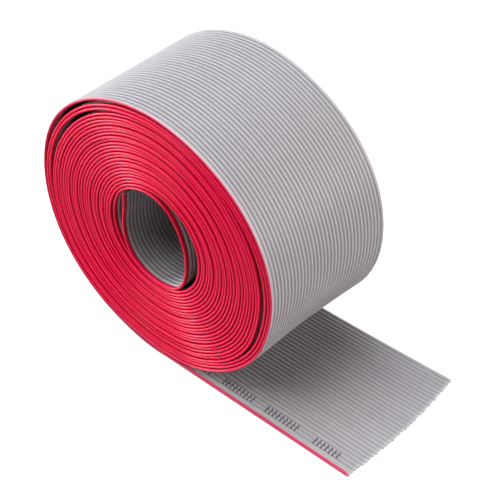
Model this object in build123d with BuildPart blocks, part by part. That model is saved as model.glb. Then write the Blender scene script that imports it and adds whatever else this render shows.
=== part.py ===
"""Roll of flat ribbon cable that stands on its rim, on its own free end.

Frame: millimetres, +Z up, floor at z = 0. The roll's axis lies along Y, x = 0 is under the axis, the marked
edge of the cable faces -Y, and the free end runs along +X on the floor.
"""
import math
import os

from build123d import *

os.makedirs("parts", exist_ok=True)

# ---- driving dimensions (mm) ----
WIRES = 34                 # wires side by side
PITCH = 1.27               # wire to wire
WIDTH = WIRES * PITCH      # 43.18, edge to edge
THICK = 0.80               # over the ribs
WEB = 0.44                 # in the grooves between two wires
GROOVE = 0.14              # flat at the bottom of a groove
AXIS_Z = 37.77             # height of the roll's axis over the floor
TURNS = 27                 # number of the last turn
FLAT_X = -3.0              # the soft roll's small flat spot on the floor starts here
RIBBED_X = 12.0            # the free end is clear of the roll from here
TAIL_NEAR = 65.7           # length of the free end at the marked edge
TAIL_FAR = 67.0            # and at the plain edge: the cut is a little out of square
TAIL_BOW = 1.1             # and it bows out by this in the middle
TAIL_SKEW = -3.77          # degrees that the free end runs out of line with the roll

# Radius of the cable's inner face, by the angle wound on so far (degrees from +X, towards +Z).
# The innermost turn has sprung off the next one into the eye.
LOOP = [
    (134, 13.60), (140, 12.45), (150, 11.05), (160, 10.42), (170, 10.12), (180, 10.02), (190, 10.08), (200, 10.28),
    (210, 10.60), (220, 10.98), (230, 11.38), (240, 11.74), (250, 12.08), (260, 12.40), (270, 12.70), (280, 13.02),
    (290, 13.36), (300, 13.62), (310, 13.30), (320, 12.62), (330, 11.86), (340, 11.18), (350, 10.70), (360, 10.42),
    (370, 10.26), (380, 10.26), (390, 10.46), (400, 10.86), (410, 11.44), (420, 12.10), (430, 12.74), (440, 13.32),
    (450, 13.80), (460, 14.08), (470, 14.24), (480, 14.38), (490, 14.52), (500, 14.52), (510, 14.26), (520, 13.92),
    (530, 13.62), (540, 13.38), (560, 12.98), (570, 12.78), (580, 12.62), (590, 12.58), (600, 12.70), (610, 13.00),
    (620, 13.33), (630, 13.66), (640, 13.98), (650, 14.30), (660, 14.58), (670, 14.76), (680, 14.88), (690, 14.95),
    (700, 15.00), (720, 15.00), (740, 14.95), (760, 14.86), (780, 14.82), (795, 14.86), (810, 14.97), (825, 15.12),
    (840, 15.28), (855, 15.40), (870, 15.32), (885, 15.02), (900, 14.62), (920, 14.12), (940, 13.78), (955, 13.74),
    (970, 13.97), (980, 14.25), (990, 14.551),
]
# Growth of the radius from one turn to the next, by direction: the roll is slightly oval.
GROWTH = [
    (-90, 0.891), (-82, 0.896), (-75, 0.916), (-60, 0.930), (-45, 0.936), (-30, 0.930), (-15, 0.906), (0, 0.888),
    (15, 0.866), (30, 0.854), (45, 0.849), (60, 0.850), (75, 0.858), (90, 0.868), (105, 0.873), (120, 0.877),
    (135, 0.884), (150, 0.898), (165, 0.924), (180, 0.938), (195, 0.930), (210, 0.918), (225, 0.906), (240, 0.894),
    (252, 0.884), (262, 0.883), (270, 0.891),
]
# Slack inside the third turn from the outside, and inside the outermost turn.
SLACK_THIRD = [
    (-90, 0), (-60, 0), (-45, 0.08), (-30, 0.40), (-15, 0.85), (0, 1.08), (15, 1.10), (30, 0.85), (45, 0.40), (60, 0.15),
    (80, 0.12), (95, 0.22), (110, 0.52), (125, 0.80), (140, 0.92), (152, 0.86), (165, 0.50), (180, 0.14), (195, 0.02),
    (210, 0), (270, 0),
]
SLACK_LAST = [
    (-90, 0), (60, 0), (75, 0.05), (90, 0.18), (105, 0.42), (120, 0.72), (135, 0.90), (146, 0.88), (156, 0.62), (166, 0.26),
    (176, 0.06), (190, 0), (270, 0),
]


def curve(table, x):
    """Smooth value of a table at x (cubic through the points, slopes from their neighbours)."""
    last = len(table) - 1
    i = 0
    while i < last - 1 and x >= table[i + 1][0]:
        i += 1

    def slope(j):
        a, b = max(j - 1, 0), min(j + 1, last)
        return (table[b][1] - table[a][1]) / (table[b][0] - table[a][0])

    (x0, y0), (x1, y1) = table[i], table[i + 1]
    h = x1 - x0
    u = (x - x0) / h
    return (
        (1 + 2 * u) * (1 - u) ** 2 * y0
        + u * (1 - u) ** 2 * h * slope(i)
        + u * u * (3 - 2 * u) * y1
        + u * u * (u - 1) * h * slope(i + 1)
    )


def inner_radius(angle):
    """Radius of the cable's inner face where it has been wound to this angle."""
    grown = 0.0
    while angle > 990:
        theta = (angle + 90) % 360 - 90
        turn = round((angle - theta) / 360)
        grown += curve(GROWTH, theta)
        if turn == TURNS - 2:
            grown += curve(SLACK_THIRD, theta)
        if turn == TURNS:
            grown += curve(SLACK_LAST, theta)
        angle -= 360
    return curve(LOOP, angle) + grown


def middle(angle):
    """Point of the cable's middle line in X and Z. The last stretch comes down flat on the floor."""
    r = inner_radius(angle) + THICK / 2
    a = math.radians(angle)
    return r * math.cos(a), AXIS_Z + r * math.sin(a)


def direction(angle):
    (x0, z0), (x1, z1) = middle(angle - 0.5), middle(angle + 0.5)
    n = math.hypot(x1 - x0, z1 - z0)
    return (x1 - x0) / n, (z1 - z0) / n


# ---- the wound middle line as stations (point, direction), by angle ----
LOOSE_END = 625            # the innermost turns are free up to here and lie tight after it
LOOSE_START = 360 * (TURNS - 2) - 90  # the outermost turns are slack from here
LANDING = 360 * TURNS + 246  # the last turn leaves the roll here and comes down to the floor


def stations_between(first, last, step):
    """Stations from one angle to another, at the two ends and at round angles between them."""
    found = [first]
    angle = (math.floor(first / step + 1e-6) + 1) * step
    while angle < last - step / 2:
        found.append(angle)
        angle += step
    return [(middle(a), direction(a)) for a in found + [last]]


def two_arcs(p, t, q, s):
    """Two arcs, tangent to each other, from point p along t to point q along s: [(start, middle, end), ...]."""
    vx, vz = q[0] - p[0], q[1] - p[1]
    dt = t[0] * s[0] + t[1] * s[1]
    vs = vx * (t[0] + s[0]) + vz * (t[1] + s[1])
    vv = vx * vx + vz * vz
    if 1 - dt < 1e-12:
        return [(p, None, q)]
    k = 2 * (1 - dt)
    d = (-vs + math.sqrt(vs * vs + k * vv)) / k
    m = ((p[0] + q[0] + d * (t[0] - s[0])) / 2, (p[1] + q[1] + d * (t[1] - s[1])) / 2)
    return [(p, t, m), (m, s, q)]


def arc_about(p, t, q, at_end):
    """Centre and signed radius of the arc from p to q, tangent to t at p (or at q if at_end)."""
    ox, oz = (q[0], q[1]) if at_end else (p[0], p[1])
    wx, wz = (p[0] - q[0], p[1] - q[1]) if at_end else (q[0] - p[0], q[1] - p[1])
    nx, nz = -t[1], t[0]
    side = wx * nx + wz * nz
    r = (wx * wx + wz * wz) / (2 * side) if abs(side) > 1e-9 else None
    return None if r is None or abs(r) > 5e4 else ((ox + r * nx, oz + r * nz), r)


def arcs_along(stations):
    """Arcs and lines through the stations: (start, end, centre and signed radius or None)."""
    found = []
    for (p, t), (q, s) in zip(stations, stations[1:]):
        for number, (a, d, b) in enumerate(two_arcs(p, t, q, s)):
            found.append((a, b, None if d is None else arc_about(a, d, b, number == 1)))
    return found


def shifted(pieces, offset):
    """The middle line moved sideways: start, mid and end point of each arc or line."""
    rows = []
    for a, b, found in pieces:
        if found is None:
            n = math.hypot(b[0] - a[0], b[1] - a[1])
            nx, nz = -(b[1] - a[1]) / n * offset, (b[0] - a[0]) / n * offset
            rows.append(((a[0] + nx, a[1] + nz), None, (b[0] + nx, b[1] + nz)))
            continue
        (cx, cz), r = found
        k = (r - offset) / r
        start = (cx + (a[0] - cx) * k, cz + (a[1] - cz) * k)
        end = (cx + (b[0] - cx) * k, cz + (b[1] - cz) * k)
        mx, mz = (a[0] + b[0]) / 2 - cx, (a[1] + b[1]) / 2 - cz
        n = math.hypot(mx, mz)
        mid = (cx + mx / n * abs(r) * k, cz + mz / n * abs(r) * k)
        rows.append((start, mid, end))
    for i in range(1, len(rows)):  # neighbours share their point
        rows[i] = (rows[i - 1][2], rows[i][1], rows[i][2])
    return rows


def length_of(pieces):
    return sum(
        math.dist(a, b) if f is None else 2 * abs(f[1]) * math.asin(min(1.0, math.dist(a, b) / 2 / abs(f[1])))
        for a, b, f in pieces
    )


FLOOR_RUN = [((FLAT_X, THICK / 2), (1.0, 0.0)), ((RIBBED_X, THICK / 2), (1.0, 0.0))]
HALF = THICK / 2

# The eye: the inner face of the first turns, and the outer face of the sprung turn as far as it is free.
eye_in = shifted(arcs_along(stations_between(LOOP[0][0] + 0.5, LOOSE_END + 360, 10)), HALF)
eye_out = shifted(arcs_along(stations_between(LOOP[0][0] + 0.5, LOOSE_END, 10)), -HALF)
# The rim: the outer face of the tight turns and of the slack ones down to the floor, and the slack ones' inner face.
rim_out = shifted(arcs_along(stations_between(LOOSE_START - 360, LANDING, 15) + FLOOR_RUN), -HALF)
rim_in = shifted(arcs_along(stations_between(LOOSE_START, LANDING, 15) + FLOOR_RUN), HALF)

whole = arcs_along(stations_between(LOOP[0][0] + 0.5, LANDING, 10) + FLOOR_RUN)
print("cable length", round(length_of(whole) + (TAIL_NEAR + TAIL_FAR) / 2 - RIBBED_X, 0), "mm")


def edges_of(rows):
    return [
        Line(a, b, mode=Mode.PRIVATE) if m is None else ThreePointArc(a, m, b, mode=Mode.PRIVATE) for a, m, b in rows
    ]


def ring_lines(one, other):
    """Closed outline from two faces that start side by side and end side by side."""
    return (
        edges_of(one)
        + [Line(one[-1][2], other[-1][2], mode=Mode.PRIVATE)]
        + edges_of(other)
        + [Line(other[0][0], one[0][0], mode=Mode.PRIVATE)]
    )


# The turns between the two slack stretches lie tight on each other and are one body.
rim = ring_lines(rim_in, rim_out)
eye = ring_lines(eye_in, eye_out)

# The free end's section across the wires, ribs above and below, for the wires from first to last.
def ribs(first, last):
    y0 = -WIDTH / 2
    dip = (THICK - WEB) / 2
    upper, lower = [], []
    for i in range(first, last + 1):
        left, right = y0 + i * PITCH, y0 + (i + 1) * PITCH
        edge_l, edge_r = i == 0, i == WIRES - 1
        a = left + (0.0 if edge_l else GROOVE / 2)
        b = right - (0.0 if edge_r else GROOVE / 2)
        mid = (left + right) / 2
        za = THICK / 2 if edge_l else THICK - dip
        zb = THICK / 2 if edge_r else THICK - dip
        upper.append(((a, za), (mid, THICK), (b, zb), edge_l, edge_r))
    return upper


def rib_lines(first, last):
    """Closed outline of the section, drawn in the current line block."""
    top = ribs(first, last)
    rows = []
    y_start, y_end = -WIDTH / 2 + first * PITCH, -WIDTH / 2 + (last + 1) * PITCH
    z_low, z_high = (THICK - WEB) / 2, (THICK + WEB) / 2
    points = []
    if first > 0:
        points.append((y_start, z_high))
    for a, m, b, edge_l, edge_r in top:
        points += [a, ("arc", m), b]
    if last < WIRES - 1:
        points.append((y_end, z_high))
    path = points
    low = []
    for item in reversed(path):
        low.append(("arc", (item[1][0], THICK - item[1][1])) if item[0] == "arc" else (item[0], THICK - item[1]))
    full = path + low
    out, here, via = [], None, None
    for item in full:
        if item[0] == "arc":
            via = item[1]
            continue
        if here is not None and math.dist(here, item) > 1e-6:
            out.append((here, via, item))
        here, via = item, None
    if math.dist(here, full[0]) > 1e-6:
        out.append((here, None, full[0]))
    return out


skew = math.tan(math.radians(TAIL_SKEW))
along = Vector(1, skew, 0)
reach = (TAIL_FAR + 3.0 - RIBBED_X) * along.length
near_corner = (TAIL_NEAR, -WIDTH / 2 + (TAIL_NEAR - RIBBED_X) * skew)
far_corner = (TAIL_FAR, WIDTH / 2 + (TAIL_FAR - RIBBED_X) * skew)
bow_point = ((TAIL_NEAR + TAIL_FAR) / 2 + TAIL_BOW, (near_corner[1] + far_corner[1]) / 2)
beyond_cut = [
    far_corner,
    (TAIL_FAR, far_corner[1] + 6),
    (TAIL_FAR + 12, far_corner[1] + 6),
    (TAIL_FAR + 12, near_corner[1] - 6),
    (TAIL_NEAR, near_corner[1] - 6),
    near_corner,
]

# ---- grey insulation: all wires but the marked one, wound ----
with BuildPart() as grey_insulation:
    with BuildSketch(Plane.XZ.offset(-WIDTH / 2)):
        with BuildLine():
            add(rim)
        make_face()
        with BuildLine():
            add(eye)
        make_face(mode=Mode.SUBTRACT)
    extrude(amount=WIDTH - PITCH)

# ---- its ribbed free end, from where it is clear of the roll, so that the space over it stays open ----
with BuildPart() as grey_free_end:
    with BuildSketch(Plane.YZ.offset(RIBBED_X)):
        with BuildLine():
            add(edges_of(rib_lines(1, WIRES - 1)))
        make_face()
    extrude(amount=reach, dir=along)
    with BuildSketch(Plane.XY.offset(-1)):  # what the scissors took off
        with BuildLine():
            Polyline(*beyond_cut)
            ThreePointArc(near_corner, bow_point, far_corner)
        make_face()
    extrude(amount=THICK + 2, mode=Mode.SUBTRACT)

# ---- red insulation of the marked edge wire ----
with BuildPart() as red_edge_wire:
    with BuildSketch(Plane.XZ.offset(WIDTH / 2 - PITCH)):
        with BuildLine():
            add(rim)
        make_face()
        with BuildLine():
            add(eye)
        make_face(mode=Mode.SUBTRACT)
    extrude(amount=PITCH)
    with BuildSketch(Plane.YZ.offset(RIBBED_X)):
        with BuildLine():
            add(edges_of(rib_lines(0, 0)))
        make_face()
    extrude(amount=reach, dir=along)
    with BuildSketch(Plane.XY.offset(-1)):
        with BuildLine():
            Polyline(*beyond_cut)
            ThreePointArc(near_corner, bow_point, far_corner)
        make_face()
    extrude(amount=THICK + 2, mode=Mode.SUBTRACT)

grey_insulation.part.label = "grey_insulation"
grey_free_end.part.label = "grey_free_end"
red_edge_wire.part.label = "red_edge_wire"
export_step(grey_insulation.part, "parts/grey_insulation.step")
export_step(grey_free_end.part, "parts/grey_free_end.step")
export_step(red_edge_wire.part, "parts/red_edge_wire.step")
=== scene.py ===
"""Looks of a roll of flat ribbon cable: the ribbed strip wound round an open eye, its red edge wire, and its free end."""
import math

import bpy
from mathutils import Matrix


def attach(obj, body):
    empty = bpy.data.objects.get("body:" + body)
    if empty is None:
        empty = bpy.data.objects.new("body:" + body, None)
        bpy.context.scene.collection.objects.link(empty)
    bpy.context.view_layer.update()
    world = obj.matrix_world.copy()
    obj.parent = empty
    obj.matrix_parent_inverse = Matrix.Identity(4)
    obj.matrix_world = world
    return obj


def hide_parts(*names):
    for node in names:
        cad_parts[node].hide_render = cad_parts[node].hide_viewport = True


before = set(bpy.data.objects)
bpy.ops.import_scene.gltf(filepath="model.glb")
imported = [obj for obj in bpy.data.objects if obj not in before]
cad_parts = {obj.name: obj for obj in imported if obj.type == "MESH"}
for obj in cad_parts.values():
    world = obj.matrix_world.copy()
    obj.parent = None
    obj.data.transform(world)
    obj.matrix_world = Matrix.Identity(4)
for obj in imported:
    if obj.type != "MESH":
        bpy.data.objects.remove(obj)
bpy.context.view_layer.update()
scene = bpy.context.scene

# ------------------------------------------------------------------ the strip (mm), as in the part
WIRES = 34
PITCH = 1.27
WIDTH = WIRES * PITCH
THICK = 0.80
RIB = 0.41                  # half thickness over a rib
WEB = 0.13                  # half thickness in a groove
AXIS_Z = 37.77
TURNS = 27
FLAT_X = -0.5
TAIL_NEAR, TAIL_FAR, TAIL_BOW = 65.7, 67.0, 1.1
SKEW = math.tan(math.radians(-3.09))

LOOP = [
    (134, 13.60), (140, 12.45), (150, 11.05), (160, 10.42), (170, 10.12), (180, 10.02), (190, 10.08), (200, 10.28),
    (210, 10.60), (220, 10.98), (230, 11.38), (240, 11.74), (250, 12.08), (260, 12.40), (270, 12.70), (280, 13.02),
    (290, 13.36), (300, 13.62), (310, 13.30), (320, 12.62), (330, 11.86), (340, 11.18), (350, 10.70), (360, 10.42),
    (370, 10.26), (380, 10.26), (390, 10.46), (400, 10.86), (410, 11.44), (420, 12.10), (430, 12.74), (440, 13.32),
    (450, 13.80), (460, 14.08), (470, 14.24), (480, 14.38), (490, 14.52), (500, 14.52), (510, 14.26), (520, 13.92),
    (530, 13.62), (540, 13.38), (560, 12.98), (570, 12.78), (580, 12.62), (590, 12.58), (600, 12.70), (610, 13.00),
    (620, 13.33), (630, 13.66), (640, 13.98), (650, 14.30), (660, 14.58), (670, 14.76), (680, 14.88), (690, 14.95),
    (700, 15.00), (720, 15.00), (740, 14.95), (760, 14.86), (780, 14.82), (795, 14.86), (810, 14.97), (825, 15.12),
    (840, 15.28), (855, 15.40), (870, 15.32), (885, 15.02), (900, 14.62), (920, 14.12), (940, 13.78), (955, 13.74),
    (970, 13.97), (980, 14.25), (990, 14.551),
]
GROWTH = [
    (-90, 0.891), (-82, 0.896), (-75, 0.916), (-60, 0.930), (-45, 0.936), (-30, 0.926), (-15, 0.892), (0, 0.872),
    (15, 0.847), (30, 0.828), (45, 0.821), (60, 0.821), (75, 0.836), (90, 0.858), (105, 0.870), (120, 0.877),
    (135, 0.884), (150, 0.898), (165, 0.924), (180, 0.938), (195, 0.930), (210, 0.918), (225, 0.906), (240, 0.894),
    (252, 0.884), (262, 0.883), (270, 0.891),
]
SLACK_THIRD = [
    (-90, 0), (-60, 0), (-45, 0.08), (-30, 0.40), (-15, 0.80), (0, 1.08), (15, 1.28), (30, 1.15), (45, 0.75), (60, 0.42),
    (80, 0.25), (95, 0.28), (110, 0.52), (125, 0.80), (140, 0.92), (152, 0.86), (165, 0.50), (180, 0.14), (195, 0.02),
    (210, 0), (270, 0),
]
SLACK_LAST = [
    (-90, 0), (-30, 0), (0, 0.05), (20, 0.12), (40, 0.24), (60, 0.34), (75, 0.38), (90, 0.44), (105, 0.56), (120, 0.76),
    (135, 0.90), (146, 0.88), (156, 0.62), (166, 0.26), (176, 0.06), (190, 0), (270, 0),
]
FLARE = [  # how far the last turn's far edge stands out from the roll
    (-120, 0), (-90, 0.02), (-75, 0.15), (-60, 0.45), (-45, 0.95), (-30, 1.75), (-15, 2.15), (0, 1.60), (15, 1.15), (30, 0.80),
    (45, 0.50), (60, 0.32), (90, 0.16), (120, 0.05), (150, 0), (270, 0),
]


def curve(table, x):
    last = len(table) - 1
    i = 0
    while i < last - 1 and x >= table[i + 1][0]:
        i += 1

    def slope(j):
        a, b = max(j - 1, 0), min(j + 1, last)
        return (table[b][1] - table[a][1]) / (table[b][0] - table[a][0])

    (x0, y0), (x1, y1) = table[i], table[i + 1]
    h = x1 - x0
    u = (x - x0) / h
    return (
        (1 + 2 * u) * (1 - u) ** 2 * y0
        + u * (1 - u) ** 2 * h * slope(i)
        + u * u * (3 - 2 * u) * y1
        + u * u * (u - 1) * h * slope(i + 1)
    )


def inner_radius(angle):
    grown = 0.0
    while angle > 990:
        theta = (angle + 90) % 360 - 90
        turn = round((angle - theta) / 360)
        grown += curve(GROWTH, theta)
        if turn == TURNS - 2:
            grown += curve(SLACK_THIRD, theta)
        if turn == TURNS:
            grown += curve(SLACK_LAST, theta)
        angle -= 360
    return curve(LOOP, angle) + grown


def middle(angle):
    r = inner_radius(angle) + THICK / 2
    a = math.radians(angle)
    return r * math.cos(a), AXIS_Z + r * math.sin(a)


def stagger(angle):
    """How far a turn's edge stands out of line with its neighbours, along the roll's axis."""
    n = angle / 360
    fade = min(1.0, max(0.0, (TURNS + 0.68 - n) / 0.6))
    return fade * (
        0.15 * math.sin(2 * math.pi * 0.618 * n + 1.3)
        + 0.11 * math.sin(2 * math.pi * 1.371 * n + 0.4)
        + 0.06 * math.sin(2 * math.pi * 2.733 * n + 2.2)
    )


# ------------------------------------------------------------------ stations along the strip
# each: (x, z, normal to the inner side x, z, shift along Y, detail level, flare of the far edge)
FULL_IN, EDGE, PLAIN, FULL_OUT, FULL_BOTH = range(5)
LAST = 360 * TURNS + 246


def wound_stations():
    out = []
    angle = 134.5
    while angle < LAST - 0.01:
        if angle < 135:
            step, level = 5, FULL_BOTH
        elif angle < 505:
            step, level = 5, FULL_IN
        elif angle < 1000:
            step, level = 5, EDGE
        elif angle < 360 * (TURNS - 3) + 240:
            step, level = 6, PLAIN
        elif angle < LAST - 366:
            step, level = 5, EDGE
        else:
            step, level = 4, FULL_OUT
        x, z = middle(angle)
        (xa, za), (xb, zb) = middle(angle - 0.5), middle(angle + 0.5)
        n = math.hypot(xb - xa, zb - za)
        flare = curve(FLARE, angle - 360 * TURNS) if level == FULL_OUT else 0.0
        out.append([x, z, -(zb - za) / n, (xb - xa) / n, stagger(angle), level, flare])
        angle = (math.floor(angle / step + 1e-6) + 1) * step
    return out


def landing_stations():
    """From the last wound point down to the floor, where the free end starts."""
    (x0, z0), (xa, za), (xb, zb) = middle(LAST), middle(LAST - 0.5), middle(LAST + 0.5)
    n = math.hypot(xb - xa, zb - za)
    x1, z1 = FLAT_X + 1.0, RIB
    reach = math.dist((x0, z0), (x1, z1))
    t0 = ((xb - xa) / n * reach, (zb - za) / n * reach)
    t1 = (reach, 0.0)
    out = []
    for k in range(0, 15):
        u = k / 14
        h00, h10, h01, h11 = 2 * u**3 - 3 * u**2 + 1, u**3 - 2 * u**2 + u, -2 * u**3 + 3 * u**2, u**3 - u**2
        d00, d10, d01, d11 = 6 * u * u - 6 * u, 3 * u * u - 4 * u + 1, -6 * u * u + 6 * u, 3 * u * u - 2 * u
        x = h00 * x0 + h10 * t0[0] + h01 * x1 + h11 * t1[0]
        z = h00 * z0 + h10 * t0[1] + h01 * z1 + h11 * t1[1]
        dx = d00 * x0 + d10 * t0[0] + d01 * x1 + d11 * t1[0]
        dz = d00 * z0 + d10 * t0[1] + d01 * z1 + d11 * t1[1]
        m = math.hypot(dx, dz)
        out.append([x, max(z, RIB), -dz / m, dx / m, tail_shift(x), FULL_BOTH if k > 5 else FULL_OUT, 0.0])
    return out


def tail_shift(x):
    return SKEW * 0.5 * (x + math.sqrt(x * x + 30.0))


def tail_stations():
    out = []
    x0, x1, count = FLAT_X + 1.0, TAIL_NEAR - 1.2, 22
    for k in range(1, count + 1):
        x = x0 + (x1 - x0) * k / count
        out.append([x, RIB, 0.0, 1.0, tail_shift(x), FULL_BOTH, 0.0])
    return out


stations = wound_stations() + landing_stations() + tail_stations()
run = [0.0]
for p, q in zip(stations, stations[1:]):
    run.append(run[-1] + math.dist(p[:2], q[:2]))

OUTER_TURN = next(s for s, p in zip(run, stations) if p[5] == FULL_OUT)  # the outermost turn starts here
FREE_END = next(s for s, p in zip(run, stations) if s > OUTER_TURN and p[5] == FULL_BOTH)  # and the free end here

# ------------------------------------------------------------------ the section across the wires
# points of one rib, left groove first: (distance from the wire's middle, half thickness)
RIB_POINTS = [(-0.635, WEB), (-0.41, 0.140), (-0.28, 0.315), (0.0, RIB), (0.28, 0.315), (0.41, 0.140)]
ROUND_EDGE = [(0.0, RIB), (0.27, 0.385), (0.47, 0.305), (0.59, 0.180), (0.635, 0.0)]


def centre(i):
    return -WIDTH / 2 + (i + 0.5) * PITCH


def grey_side(wires):
    """One side of the grey web, from the red wire to the far edge without its tip; ribs on these wires, flat between them."""
    pts = []
    flat = False
    for i in range(1, WIRES - 1):
        if i in wires:
            if flat:
                pts.append((centre(i) - 0.635, WEB if i - 1 in wires else RIB - 0.02))
                pts += [(centre(i) + a, h) for a, h in RIB_POINTS[1:]]
            else:
                pts += [(centre(i) + a, h) for a, h in RIB_POINTS]
            flat = False
        else:
            if not flat:
                if i == 1:
                    pts += [(centre(i) - 0.635, WEB), (centre(i) - 0.30, 0.37)]
                else:
                    pts += [(centre(i) - 0.635, WEB)]
                pts.append((centre(i), RIB - 0.02))
            flat = True
    c = centre(WIRES - 1)
    if WIRES - 1 in wires:
        pts += [(c - 0.635, RIB - 0.02 if flat else WEB), (c - 0.41, 0.140), (c - 0.28, 0.315), (c, RIB)]
    else:
        pts.append((c - 0.3, RIB - 0.01))
    pts += [(c + a, h) for a, h in ROUND_EDGE[1:4]]
    return pts


EVERY = set(range(1, WIRES))
NEAR_EDGES = set(range(1, 3)) | set(range(WIRES - 2, WIRES))
SIDE = {"all": grey_side(EVERY), "edges": grey_side(NEAR_EDGES), "plain": grey_side(set())}
LEVELS = {  # detail level: (outer side, inner side)
    FULL_IN: ("edges", "all"),
    EDGE: ("edges", "edges"),
    PLAIN: ("plain", "plain"),
    FULL_OUT: ("all", "plain"),
    FULL_BOTH: ("all", "all"),
}
FAR_TIP = (centre(WIRES - 1) + 0.635, 0.0)
RED_SIDE = [(centre(0) - a, h) for a, h in reversed(ROUND_EDGE[:4])] + [
    (centre(0) + 0.28, 0.315), (centre(0) + 0.41, 0.140), (centre(0) + 0.635, WEB)
]
RED_TIP = (centre(0) - 0.635, 0.0)


def uneven(i, seed):
    """A fixed number from -1 to 1 for wire i."""
    v = math.sin(12.9898 * (i + 1) + 78.233 * seed) * 43758.5453
    return 2 * (v - math.floor(v)) - 1


def wire_of(y):
    return min(WIRES - 1, max(0, int((y + WIDTH / 2) / PITCH)))


def end_of_wire(i):
    """Where the cut ends wire i of the free end, in X."""
    v = (i + 0.5) / WIRES
    return TAIL_NEAR + (TAIL_FAR - TAIL_NEAR) * v + TAIL_BOW * (1 - (2 * v - 1) ** 2) + 0.17 * uneven(i, 1)


def lift(x, y):
    """The free end's slight rise off the floor towards its far corner, and a shallow wave across it."""
    if x < 8:
        return 0.0
    u = (x - 8) / 58
    v = (y + WIDTH / 2) / WIDTH
    return max(0.0, u * u * (0.10 + 1.35 * v**1.5)) + 0.10 * u * (1 + math.sin(5.1 * v + 2.2 * u)) / 2


def place(station, y, h):
    """Point of the strip: y across it, h from its middle towards the inner side. Metres."""
    x, z, nx, nz, shift, _, flare = station
    h -= flare * max(0.0, (y + 5.0) / (WIDTH / 2 + 5.0)) ** 1.3
    px, pz = x + nx * h, z + nz * h
    if station[3] > 0.999 and x > 8:
        pz += lift(x, y)
    return (px * 0.001, (y + shift) * 0.001, pz * 0.001)


class Mesh:
    def __init__(self):
        self.verts, self.faces, self.mats = [], [], []
        self.along, self.across, self.side, self.cut = [], [], [], []

    def point(self, co, s, y, side, cut=6.0):
        self.cut.append(cut)  # distance to the cut end
        self.verts.append(co)
        self.along.append(s)
        self.across.append(y)
        self.side.append(side)
        return len(self.verts) - 1

    def face(self, *ids, mat=0):
        if len(set(ids)) >= 3:
            self.faces.append(tuple(reversed(ids)))
            self.mats.append(mat)


def zip_rows(mesh, a, ya, b, yb, flip):
    """Faces between two rows of points, each sorted along y."""
    if len(a) == len(b):
        for k in range(len(a) - 1):
            q = (a[k], a[k + 1], b[k + 1], b[k])
            mesh.face(*(reversed(q) if flip else q))
        return
    i = j = 0
    while i < len(a) - 1 or j < len(b) - 1:
        go_a = j == len(b) - 1 or (i < len(a) - 1 and ya[i + 1] <= yb[j + 1])
        if go_a:
            t = (a[i], a[i + 1], b[j])
            i += 1
        else:
            t = (a[i], b[j + 1], b[j])
            j += 1
        mesh.face(*(reversed(t) if flip else t))


def strip(sides, tip, tip_first, wires):
    """Closed mesh of the strip (or of one wire of it) along all stations, with both cut ends."""
    mesh = Mesh()
    before = None
    for station, s in zip(stations, run):
        outer, inner = sides(station[5])
        t = mesh.point(place(station, *tip), s, tip[0], 0.5)
        row_out = [mesh.point(place(station, y, -h), s, y, 0.0) for y, h in outer]
        row_in = [mesh.point(place(station, y, h), s, y, 1.0) for y, h in inner]
        yo, yi = [p[0] for p in outer], [p[0] for p in inner]
        if tip_first:
            row_out, row_in, yo, yi = [t] + row_out, [t] + row_in, [tip[0]] + yo, [tip[0]] + yi
        else:
            row_out, row_in, yo, yi = row_out + [t], row_in + [t], yo + [tip[0]], yi + [tip[0]]
        now = (row_out, yo, row_in, yi)
        if before is not None:
            zip_rows(mesh, before[0], before[1], row_out, yo, True)
            zip_rows(mesh, before[2], before[3], row_in, yi, False)
            e = -1 if tip_first else 0  # the side that joins the other colour
            q = (before[0][e], before[2][e], row_in[e], row_out[e])
            mesh.face(*(q if not tip_first else reversed(q)))
        else:
            first = now
        before = now
    close_end(mesh, first, stations[0], 0.0, wires, True)
    close_end(mesh, before, stations[-1], run[-1], wires, False)
    return mesh


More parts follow.
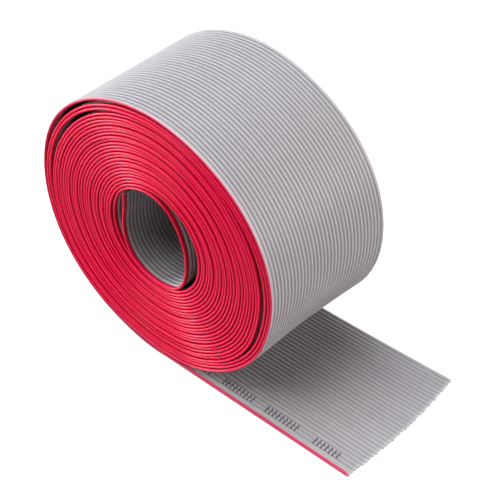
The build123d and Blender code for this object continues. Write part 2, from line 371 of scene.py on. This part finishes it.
def close_end(mesh, rows, station, s, wires, start):
    """The cut across the wires: each wire ends at its own length, with its copper core in the middle."""
    row_out, yo, row_in, yi = rows
    x, z, nx, nz, shift = station[:5]
    dx, dz = nz, -nx  # direction of travel
    sign = -1 if start else 1

    def lead(i):
        if start:
            return 0.15 + 0.12 * uneven(i, 3)
        return end_of_wire(i) - x

    def moved(y, h, d):
        px, pz = x + nx * h + sign * dx * d, z + nz * h + sign * dz * d
        if not start:
            pz += lift(px, y)
        return (px * 0.001, (y + shift + (SKEW * d if not start else 0)) * 0.001, pz * 0.001)

    ends = {}

    def end_point(y, h, side):
        key = (round(y, 4), round(h, 4))
        if key not in ends:
            k = (y + WIDTH / 2) / PITCH
            if abs(k - round(k)) < 1e-3 and 0 < round(k) < WIRES:  # in a groove
                d = min(lead(round(k) - 1), lead(round(k))) - (0.14 if start else 0.20)
            else:
                i = wire_of(y)
                d = lead(i) - (0.10 if start else 0.13) * ((y - centre(i)) / 0.635) ** 2
            ends[key] = mesh.point(moved(y, h, d), s + d, y, side, 0.0)
        return ends[key]

    def heights(ids, ys):
        out = []
        for v, y in zip(ids, ys):
            co = mesh.verts[v]
            h = (co[0] * 1000 - x) * nx + (co[2] * 1000 - z - (lift(x, y) if not start else 0)) * nz
            out.append(h)
        return out

    ho, hi = heights(row_out, yo), heights(row_in, yi)
    for v in row_out + row_in:
        mesh.cut[v] = lead(wire_of(mesh.across[v]))
    new_out = [end_point(y, h, 0.0) for y, h in zip(yo, ho)]
    new_in = [end_point(y, h, 1.0) for y, h in zip(yi, hi)]
    flip = not start
    zip_rows(mesh, row_out, yo, new_out, yo, flip)
    zip_rows(mesh, row_in, yi, new_in, yi, not flip)
    # the side that joins the other colour, where there is one
    for e in (0, -1):
        if row_out[e] != row_in[e]:
            q = (row_out[e], row_in[e], new_in[e], new_out[e])
            mesh.face(*(q if (e == 0) == (not start) else reversed(q)))
    # end faces, wire by wire, each round its core
    for i in wires:
        lo, hi_y = centre(i) - 0.6351, centre(i) + 0.6351
        ring = [v for v, y in zip(new_out, yo) if lo <= y <= hi_y]
        back = [v for v, y in zip(new_in, yi) if lo <= y <= hi_y and v not in ring]
        loop = ring + back[::-1]
        core, face_d = [], lead(i)
        for v in loop:
            co = mesh.verts[v]
            yy = mesh.across[v] - centre(i)
            hh = (co[0] * 1000 - x) * nx + (co[2] * 1000 - z - (lift(co[0] * 1000, mesh.across[v]) if not start else 0)) * nz
            r = math.hypot(yy, hh) or 1.0
            core.append(mesh.point(moved(centre(i) + yy / r * 0.20, hh / r * 0.20, face_d - 0.02), s + face_d, centre(i), 0.5, 0.0))
        n = len(loop)
        for k in range(n):
            q = (loop[k], loop[(k + 1) % n], core[(k + 1) % n], core[k])
            mesh.face(*(q if start else reversed(q)))
        tip = mesh.point(moved(centre(i), 0.0, face_d + 0.05), s + face_d, centre(i), 0.5, 0.0)
        for k in range(n):
            q = (core[k], core[(k + 1) % n], tip)
            mesh.face(*(q if start else reversed(q)), mat=1)


def build(name, mesh, materials):
    data = bpy.data.meshes.new(name)
    data.from_pydata(mesh.verts, [], mesh.faces)
    data.validate()
    for key, values in (("along", mesh.along), ("across", mesh.across), ("side", mesh.side), ("cut", mesh.cut)):
        layer = data.attributes.new(key, "FLOAT", "POINT")
        layer.data.foreach_set("value", values)
    for m in materials:
        data.materials.append(m)
    if len(data.polygons) == len(mesh.mats):
        data.polygons.foreach_set("material_index", mesh.mats)
    data.polygons.foreach_set("use_smooth", [True] * len(data.polygons))
    data.set_sharp_from_angle(angle=math.radians(48))
    data.update()
    obj = bpy.data.objects.new(name, data)
    scene.collection.objects.link(obj)
    return obj


# ------------------------------------------------------------------ materials
def node(tree, kind, at=(0, 0), **settings):
    n = tree.nodes.new(kind)
    n.location = at
    for k, v in settings.items():
        setattr(n, k, v)
    return n


def maths(tree, op, a, b=None, clamp=False):
    n = node(tree, "ShaderNodeMath", operation=op, use_clamp=clamp)
    for k, v in enumerate((a, b)):
        if v is None:
            continue
        if isinstance(v, (int, float)):
            n.inputs[k].default_value = v
        else:
            tree.links.new(v, n.inputs[k])
    return n.outputs[0]


def strip_space(tree, stretch):
    """Coordinates that run along the strip: (along / stretch, across, side), in mm."""
    a = node(tree, "ShaderNodeAttribute", attribute_name="along")
    y = node(tree, "ShaderNodeAttribute", attribute_name="across")
    f = node(tree, "ShaderNodeAttribute", attribute_name="side")
    c = node(tree, "ShaderNodeCombineXYZ")
    tree.links.new(maths(tree, "DIVIDE", a.outputs["Fac"], stretch), c.inputs[0])
    tree.links.new(y.outputs["Fac"], c.inputs[1])
    tree.links.new(maths(tree, "MULTIPLY", f.outputs["Fac"], 7.0), c.inputs[2])
    return c.outputs[0], a.outputs["Fac"], y.outputs["Fac"], f.outputs["Fac"]


def ramp(tree, value, stops):
    n = node(tree, "ShaderNodeValToRGB")
    n.color_ramp.elements[0].position, n.color_ramp.elements[0].color = stops[0][0], stops[0][1]
    n.color_ramp.elements[1].position, n.color_ramp.elements[1].color = stops[-1][0], stops[-1][1]
    for p, c in stops[1:-1]:
        e = n.color_ramp.elements.new(p)
        e.color = c
    tree.links.new(value, n.inputs[0])
    return n.outputs[0]


def noise(tree, space, scale, detail=3.0, rough=0.5):
    n = node(tree, "ShaderNodeTexNoise")
    n.inputs["Scale"].default_value = scale
    n.inputs["Detail"].default_value = detail
    n.inputs["Roughness"].default_value = rough
    tree.links.new(space, n.inputs["Vector"])
    return n.outputs[0]


def mix_colour(tree, factor, a, b):
    n = node(tree, "ShaderNodeMix", data_type="RGBA")
    tree.links.new(factor, n.inputs[0])
    for socket, v in ((n.inputs[6], a), (n.inputs[7], b)):
        if isinstance(v, tuple):
            socket.default_value = v
        else:
            tree.links.new(v, socket)
    return n.outputs[2]


def multiply(tree, a, b):
    n = node(tree, "ShaderNodeMix", data_type="RGBA", blend_type="MULTIPLY")
    n.inputs[0].default_value = 1.0
    tree.links.new(a, n.inputs[6])
    tree.links.new(b, n.inputs[7])
    return n.outputs[2]


def pvc(name, dark, mid, light, groove_shade_colour, rough, specular, ink=False):
    m = bpy.data.materials.new(name)
    m.use_nodes = True
    t = m.node_tree
    bsdf = t.nodes["Principled BSDF"]
    streaks, along, across, side = strip_space(t, 40.0)
    cloud, _, _, _ = strip_space(t, 6.0)
    grain, _, _, _ = strip_space(t, 1.0)
    tone = maths(t, "ADD", maths(t, "MULTIPLY", noise(t, streaks, 1.1, 2.0), 0.5), maths(t, "MULTIPLY", noise(t, cloud, 0.35, 2.0), 0.5))
    colour = ramp(t, tone, [(0.30, dark), (0.5, mid), (0.70, light)])
    # painted shade: darker towards the groove colour between the wires and between the turns of the marked edge
    colour = mix_colour(t, painted_groove_shade(t, along, across, side, noise(t, streaks, 0.7, 1.0)), colour, groove_shade_colour)
    if ink:
        # painted shade: the inner side, which is the free end's upper side, is about a tenth darker
        painted_inner_shade = mix_colour(t, between(t, side, 0.45, 0.55), (1.0, 1.0, 1.0, 1), (0.90, 0.885, 0.875, 1))
        colour = multiply(t, colour, painted_inner_shade)
    else:
        colour = edge_colour(t, along, across, side, colour)
    cut = node(t, "ShaderNodeAttribute", attribute_name="cut").outputs["Fac"]
    # painted light: paler towards the cut ends, where the cut faces catch the light
    painted_cut_light = maths(t, "MULTIPLY", maths(t, "SUBTRACT", 0.85, cut), 0.9, clamp=True)
    colour = mix_colour(t, maths(t, "MULTIPLY", painted_cut_light, 0.6 if ink else 0.25), colour, (0.50, 0.50, 0.46, 1))
    if ink:
        colour = mix_colour(t, marks(t, along, across, side, noise(t, grain, 5.0, 2.0)), colour, (0.022, 0.020, 0.024, 1))
    t.links.new(colour, bsdf.inputs["Base Color"])
    r = maths(t, "ADD", maths(t, "MULTIPLY", noise(t, cloud, 1.6, 3.0), 0.16), rough - 0.08)
    t.links.new(r, bsdf.inputs["Roughness"])
    bsdf.inputs["IOR"].default_value = 1.52
    bsdf.inputs["Specular IOR Level"].default_value = specular
    bump = node(t, "ShaderNodeBump")
    bump.inputs["Strength"].default_value = 0.25
    bump.inputs["Distance"].default_value = 0.00003
    height = maths(t, "ADD", noise(t, grain, 9.0, 4.0, 0.6), maths(t, "MULTIPLY", noise(t, streaks, 14.0, 2.0), 0.8))
    t.links.new(height, bump.inputs["Height"])
    t.links.new(bump.outputs[0], bsdf.inputs["Normal"])
    return m


def between(tree, value, low, high):
    """0 at low, rising to 1 at high."""
    return maths(tree, "DIVIDE", maths(tree, "SUBTRACT", value, low), high - low, clamp=True)


def edge_colour(tree, along, across, side, red):
    """The marked edge: painted darker and less saturated on the last turn and the free end, where it lies most open to
    the light, and fading into the grey towards the first groove through a painted pale pink highlight.
    """
    wire = maths(tree, "DIVIDE", maths(tree, "ADD", across, WIDTH / 2), PITCH)
    last = maths(tree, "GREATER_THAN", along, OUTER_TURN)
    # painted shade: the red is darker and less saturated on the last turn, and more so on the free end
    painted_red_shade = maths(tree, "ADD", maths(tree, "MULTIPLY", last, 0.5), maths(tree, "MULTIPLY", between(tree, along, FREE_END - 30.0, FREE_END), 0.4))
    colour = mix_colour(tree, painted_red_shade, red, (0.42, 0.030, 0.074, 1))
    outside = maths(tree, "MULTIPLY", last, between(tree, side, 0.5, 0.25))
    inside = maths(tree, "MULTIPLY", maths(tree, "GREATER_THAN", along, FREE_END), between(tree, side, 0.5, 0.75))
    pale = maths(
        tree,
        "MAXIMUM",
        maths(tree, "MULTIPLY", outside, between(tree, wire, 0.08, 0.40)),
        maths(tree, "MULTIPLY", inside, between(tree, wire, 0.52, 0.88)),
    )
    # the ink thins from red through pink to the grey; the pale pink stop is a painted highlight along the rounded edge
    ink_fade_and_highlight = ramp(tree, pale, [(0.0, (0.56, 0.07, 0.12, 1)), (0.45, (0.56, 0.34, 0.38, 1)), (1.0, (0.372, 0.354, 0.367, 1))])
    return mix_colour(tree, between(tree, pale, 0.0, 0.25), colour, ink_fade_and_highlight)


def painted_groove_shade(tree, along, across, side, patchy):
    """How much painted shade goes between the wires, 0 on a rib to 1 in a groove; on the marked edge, between the
    turns.
    """
    wire = maths(tree, "DIVIDE", maths(tree, "ADD", across, WIDTH / 2), PITCH)
    off = maths(tree, "ABSOLUTE", maths(tree, "SUBTRACT", maths(tree, "FRACT", wire), 0.5))
    between_wires = maths(tree, "MULTIPLY", maths(tree, "SUBTRACT", off, 0.20), 6.0, clamp=True)
    inner = maths(tree, "GREATER_THAN", wire, maths(tree, "ADD", maths(tree, "MULTIPLY", maths(tree, "GREATER_THAN", side, 0.5), 0.8), 0.6))
    # the painted shade is a quarter as strong where the free end leaves the roll, and rises to a little over half
    # towards its cut end
    open_end = maths(tree, "SUBTRACT", 1.0, maths(tree, "MULTIPLY", between(tree, along, FREE_END - 8.0, FREE_END), 0.75))
    open_end = maths(tree, "ADD", open_end, maths(tree, "MULTIPLY", between(tree, along, FREE_END + 22.0, FREE_END + 60.0), 0.30))
    between_wires = maths(tree, "MULTIPLY", maths(tree, "MULTIPLY", between_wires, inner), open_end)
    # painted shade in the lines between the turns of the red edge, broken into patches; on the wound turns only
    between_turns = maths(tree, "MULTIPLY", between(tree, wire, 0.03, 0.26), between(tree, patchy, 0.20, 0.55))
    wound = maths(tree, "MULTIPLY", maths(tree, "LESS_THAN", along, OUTER_TURN), maths(tree, "LESS_THAN", wire, 1.0))
    return maths(tree, "MAXIMUM", between_wires, maths(tree, "MULTIPLY", between_turns, wound))


def marks(tree, along, across, side, speckle):
    """Plain tally bars in groups on the upper side of the free end, beside the red wire."""
    from_end = maths(tree, "SUBTRACT", run[-1], along)
    cell = maths(tree, "DIVIDE", from_end, 1.25)
    part = maths(tree, "FRACT", cell)
    bar = maths(tree, "LESS_THAN", maths(tree, "ABSOLUTE", maths(tree, "SUBTRACT", part, 0.5)), 0.17)
    groups = None
    for a, b in ((3.75, 12.5), (17.5, 28.75), (32.5, 43.75), (47.5, 57.5)):
        inside = maths(tree, "MULTIPLY", maths(tree, "GREATER_THAN", from_end, a), maths(tree, "LESS_THAN", from_end, b))
        groups = inside if groups is None else maths(tree, "ADD", groups, inside)
    low = -WIDTH / 2 + PITCH + 1.2
    tall = 2.2
    up = maths(tree, "SUBTRACT", across, low)
    height = maths(tree, "MULTIPLY", maths(tree, "GREATER_THAN", up, 0.0), maths(tree, "LESS_THAN", up, tall))
    on = maths(tree, "MULTIPLY", maths(tree, "MULTIPLY", bar, groups), height)
    on = maths(tree, "MULTIPLY", on, maths(tree, "GREATER_THAN", side, 0.75))
    worn = maths(tree, "GREATER_THAN", speckle, 0.36)
    return maths(tree, "MULTIPLY", on, maths(tree, "MULTIPLY", maths(tree, "ADD", maths(tree, "MULTIPLY", worn, 0.35), 0.65), 0.9))


def tinned(name):
    m = bpy.data.materials.new(name)
    m.use_nodes = True
    t = m.node_tree
    bsdf = t.nodes["Principled BSDF"]
    space = node(t, "ShaderNodeTexCoord").outputs["Object"]
    v = node(t, "ShaderNodeTexVoronoi")
    v.inputs["Scale"].default_value = 7500.0
    t.links.new(space, v.inputs["Vector"])
    t.links.new(ramp(t, v.outputs["Distance"], [(0.0, (0.80, 0.78, 0.71, 1)), (0.6, (0.70, 0.66, 0.58, 1)), (1.0, (0.42, 0.36, 0.29, 1))]), bsdf.inputs["Base Color"])
    bsdf.inputs["Metallic"].default_value = 0.45
    t.links.new(maths(t, "ADD", maths(t, "MULTIPLY", v.outputs["Distance"], 0.2), 0.4), bsdf.inputs["Roughness"])
    return m


# the fourth colour of each finish is the painted shade between the wires and between the turns
GREY = pvc(
    "grey_pvc", (0.345, 0.333, 0.346, 1), (0.366, 0.354, 0.367, 1), (0.387, 0.375, 0.388, 1), (0.190, 0.177, 0.182, 1), 0.42, 0.30, ink=True
)
RED = pvc("red_pvc", (0.66, 0.004, 0.042, 1), (0.82, 0.008, 0.066, 1), (0.90, 0.022, 0.094, 1), (0.52, 0.001, 0.022, 1), 0.30, 0.20)
CORE = tinned("tinned_copper")

# ------------------------------------------------------------------ pieces
grey = build(
    "grey_insulation_ribbed",
    strip(lambda level: (SIDE[LEVELS[level][0]], SIDE[LEVELS[level][1]]), FAR_TIP, False, range(1, WIRES)),
    [GREY, CORE],
)
red = build("red_edge_wire_round", strip(lambda level: (RED_SIDE, RED_SIDE), RED_TIP, True, range(0, 1)), [RED, CORE])
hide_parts("grey_insulation", "grey_free_end")
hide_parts("red_edge_wire")
for piece, cad in ((grey, "grey_insulation"), (red, "red_edge_wire")):
    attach(piece, "root")

# ------------------------------------------------------------------ floor, light, camera
def flat_sheet(name, z, material):
    data = bpy.data.meshes.new(name)
    data.from_pydata([(-4, -4, z), (4, -4, z), (4, 4, z), (-4, 4, z)], [], [(0, 1, 2, 3)])
    data.materials.append(material)
    obj = bpy.data.objects.new(name, data)
    scene.collection.objects.link(obj)
    return obj


def pale(name, albedo, glow):
    m = bpy.data.materials.new(name)
    m.use_nodes = True
    b = m.node_tree.nodes["Principled BSDF"]
    b.inputs["Base Color"].default_value = (albedo, albedo, albedo, 1)
    b.inputs["Roughness"].default_value = 0.9
    b.inputs["Specular IOR Level"].default_value = 0.0
    b.inputs["Emission Color"].default_value = (1, 1, 1, 1)
    b.inputs["Emission Strength"].default_value = glow
    return m


# the pale floor that is seen, and under it the one that throws light back up
floor = flat_sheet("floor", 0.0, pale("pale_floor", 0.20, 0.90))
floor.visible_diffuse = floor.visible_glossy = floor.visible_shadow = False
bounce = flat_sheet("floor_bounce", -0.0004, pale("pale_bounce", 0.36, 0.0))
bounce.visible_camera = False

# a plain pale backdrop all round, beyond the floor's edge
RINGS, SIDES = 8, 48
dome_points, dome_faces = [], []
for r in range(RINGS):
    lean = math.radians(-2 + 92 * r / RINGS)
    for k in range(SIDES):
        turn = 2 * math.pi * k / SIDES
        dome_points.append((3.9 * math.cos(lean) * math.cos(turn), 3.9 * math.cos(lean) * math.sin(turn), 3.9 * math.sin(lean)))
dome_points.append((0.0, 0.0, 3.9))
for r in range(RINGS - 1):
    for k in range(SIDES):
        a, b = r * SIDES + k, r * SIDES + (k + 1) % SIDES
        dome_faces.append((b, a, a + SIDES, b + SIDES))
for k in range(SIDES):
    dome_faces.append(((RINGS - 1) * SIDES + (k + 1) % SIDES, (RINGS - 1) * SIDES + k, RINGS * SIDES))
dome_data = bpy.data.meshes.new("backdrop")
dome_data.from_pydata(dome_points, [], dome_faces)
dome_data.materials.append(pale("pale_backdrop", 0.20, 0.90))
backdrop = bpy.data.objects.new("backdrop", dome_data)
scene.collection.objects.link(backdrop)
backdrop.visible_diffuse = backdrop.visible_glossy = backdrop.visible_shadow = False

world = bpy.data.worlds.new("studio")
scene.world = world
world.use_nodes = True
world.node_tree.nodes["Background"].inputs[0].default_value = (1.0, 1.0, 1.0, 1)
world.node_tree.nodes["Background"].inputs[1].default_value = 0.02


def area(name, at, to, size, power, colour):
    light = bpy.data.lights.new(name, "AREA")
    light.shape = "RECTANGLE"
    light.size, light.size_y = size
    light.energy = power
    light.color = colour
    obj = bpy.data.objects.new(name, light)
    scene.collection.objects.link(obj)
    obj.location = at
    d = [b - a for a, b in zip(at, to)]
    from mathutils import Vector

    obj.rotation_euler = Vector(d).to_track_quat("-Z", "Y").to_euler()
    return obj


area("overhead", (-0.25, -0.14, 0.90), (-0.03, 0.0, 0.0), (1.0, 0.75), 11.6, (0.975, 1.005, 1.05))
area("overback", (-0.20, 0.25, 0.90), (-0.02, 0.0, 0.0), (0.9, 0.6), 4.2, (0.975, 1.005, 1.05))
area("right", (0.85, 0.25, 0.30), (0.02, 0.0, 0.03), (0.6, 0.4), 8.9, (1.0, 0.94, 0.945))
area("left_low", (-0.76, -0.50, 0.10), (0.0, -0.02, 0.035), (0.5, 0.3), 11.6, (1.0, 1.0, 1.0))

camera_data = bpy.data.cameras.new("camera")
camera = bpy.data.objects.new("camera", camera_data)
scene.collection.objects.link(camera)
AZ, EL = math.radians(40.173), math.radians(38.579)
camera.location = (0.202893, -0.224077, 0.262703)
camera.rotation_euler = (math.pi / 2 - EL, 0.0, AZ)
camera_data.sensor_width = 36.0
camera_data.lens = 104.24
camera_data.clip_start = 0.01
camera_data.clip_end = 20.0
scene.camera = camera
scene.view_settings.view_transform = "Standard"
scene.view_settings.look = "None"
